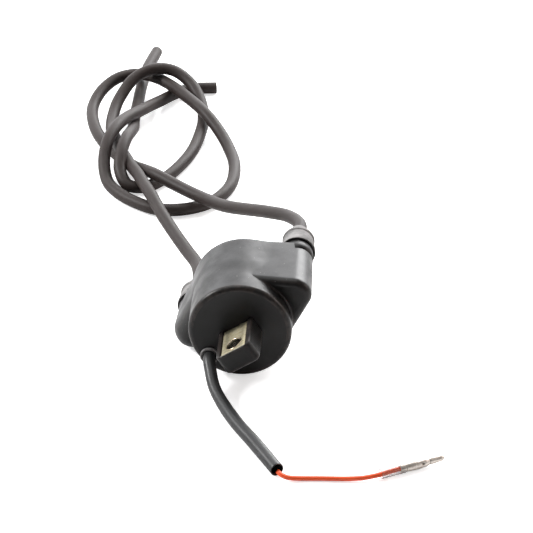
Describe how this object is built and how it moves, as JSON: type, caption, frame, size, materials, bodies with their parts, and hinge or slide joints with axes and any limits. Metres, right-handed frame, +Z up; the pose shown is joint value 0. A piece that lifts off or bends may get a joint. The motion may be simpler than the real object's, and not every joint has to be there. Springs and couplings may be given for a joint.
{
  "type": "ignition coil",
  "caption": "Twin-lead ignition coil: round moulded barrel on a laminated core with bolt holes, two high tension leads in rubber boots, and a primary wire with a bullet terminal.",
  "frame": {"origin": "on the floor under the middle of the barrel's axis: the bottom centre of the coil without its leads", "axes": "+Y along the barrel's axis from the plain front face to the towers, +X towards the raised right tower, +Z up"},
  "size_m": [0.2122, 0.4642, 0.052],
  "materials": {
    "case_plastic": "semi-gloss moulded charcoal plastic",
    "resin": "glossy potting resin",
    "core_steel": "zinc-plated laminated steel",
    "bobbin_plastic": "matte moulded nylon",
    "copper_wire": "enamelled copper winding",
    "insulating_paper": "varnished insulating paper",
    "brass": "bright brass",
    "boot_rubber": "dusty grey rubber",
    "lead_rubber": "satin brown-grey rubber",
    "sleeve_vinyl": "semi-gloss soft vinyl",
    "wire_vinyl": "satin orange-red vinyl",
    "tin_plate": "worn tin plate",
    "clear_vinyl": "clear soft vinyl"
  },
  "bodies": {
    "coil": {"case_shell": "case_plastic", "case_cover": "case_plastic", "potting_resin": "resin", "core_lamination_1": "core_steel", "core_lamination_2": "core_steel", "core_lamination_3": "core_steel", "core_lamination_4": "core_steel", "core_lamination_5": "core_steel", "core_lamination_6": "core_steel", "core_lamination_7": "core_steel", "primary_bobbin": "bobbin_plastic", "primary_winding": "copper_wire", "primary_insulation": "insulating_paper", "secondary_bobbin": "bobbin_plastic", "secondary_winding_1": "copper_wire", "secondary_winding_2": "copper_wire", "secondary_winding_3": "copper_wire", "secondary_winding_4": "copper_wire", "secondary_winding_5": "copper_wire", "secondary_winding_6": "copper_wire", "secondary_insulation": "insulating_paper", "ht_terminal_left": "brass", "ht_strap_left": "brass", "ht_seal_left": "boot_rubber", "ht_lead_left": "lead_rubber", "ht_terminal_right": "brass", "ht_strap_right": "brass", "ht_seal_right": "boot_rubber", "ht_lead_right": "lead_rubber", "primary_grommet": "boot_rubber", "primary_tail": "wire_vinyl", "primary_sleeve": "sleeve_vinyl", "primary_wire": "wire_vinyl", "bullet_terminal": "tin_plate", "terminal_sleeve": "clear_vinyl"},
    "boot_left": {"ht_boot_left": "boot_rubber"},
    "boot_right": {"ht_boot_right": "boot_rubber"}
  },
  "joints": [
    {"name": "boot_left_slide", "type": "slide", "parent": "coil", "child": "boot_left", "axis": [0, 1, 0], "range_m": [0, 0.006]},
    {"name": "boot_right_slide", "type": "slide", "parent": "coil", "child": "boot_right", "axis": [0, 1, 0], "range_m": [0, 0.006]}
  ]
}
